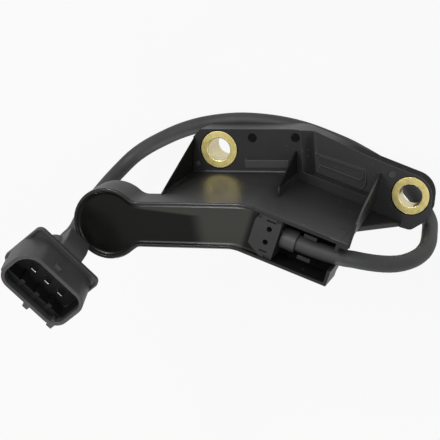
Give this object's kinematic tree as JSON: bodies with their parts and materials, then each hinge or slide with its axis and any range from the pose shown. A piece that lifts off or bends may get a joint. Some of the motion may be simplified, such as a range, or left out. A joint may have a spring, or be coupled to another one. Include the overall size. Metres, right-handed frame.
{
  "type": "camshaft position sensor",
  "caption": "Camshaft position sensor: black moulded two-bolt flange, potted sensing arm and a short cable with a plug-in connector",
  "frame": {"origin": "on the mounting face, midway between the two bolt bores", "axes": "+X along the sensing arm's straight edge towards the cable outlet, +Y from the tray towards the free edge of the flange, +Z away from the engine, normal to the mounting face"},
  "size_m": [0.1073, 0.046, 0.0818],
  "materials": {
    "blackNylon": "moulded satin to glossy",
    "brass": "turned brass",
    "pottingResin": "cast resin, glossy",
    "carrierPlastic": "moulded matt",
    "cableJacket": "extruded matt jacket",
    "sealRubber": "moulded matt",
    "tinnedCopper": "tinned",
    "chipResin": "moulded matt",
    "magnetAlloy": "ground",
    "plateSteel": "stamped",
    "capacitorCeramic": "fired",
    "connectorNylon": "moulded satin",
    "tinPlate": "tin plated"
  },
  "bodies": {
    "root": {"housing": "blackNylon", "bushing_left": "brass", "bushing_right": "brass", "potting_compound": "pottingResin", "terminal_carrier": "carrierPlastic", "hall_ic": "chipResin", "bias_magnet": "magnetAlloy", "pole_plate": "plateSteel", "lead_strip_1": "tinnedCopper", "lead_strip_2": "tinnedCopper", "lead_strip_3": "tinnedCopper", "capacitor_1": "capacitorCeramic", "capacitor_2": "capacitorCeramic", "core_wire_1": "tinnedCopper", "core_wire_2": "tinnedCopper", "core_wire_3": "tinnedCopper", "cable": "cableJacket", "cable_ferrule": "connectorNylon", "connector_shell": "connectorNylon", "terminal_pin_1": "tinPlate", "terminal_pin_2": "tinPlate", "terminal_pin_3": "tinPlate", "rear_cap": "connectorNylon", "cable_seal": "sealRubber"}
  },
  "joints": []
}
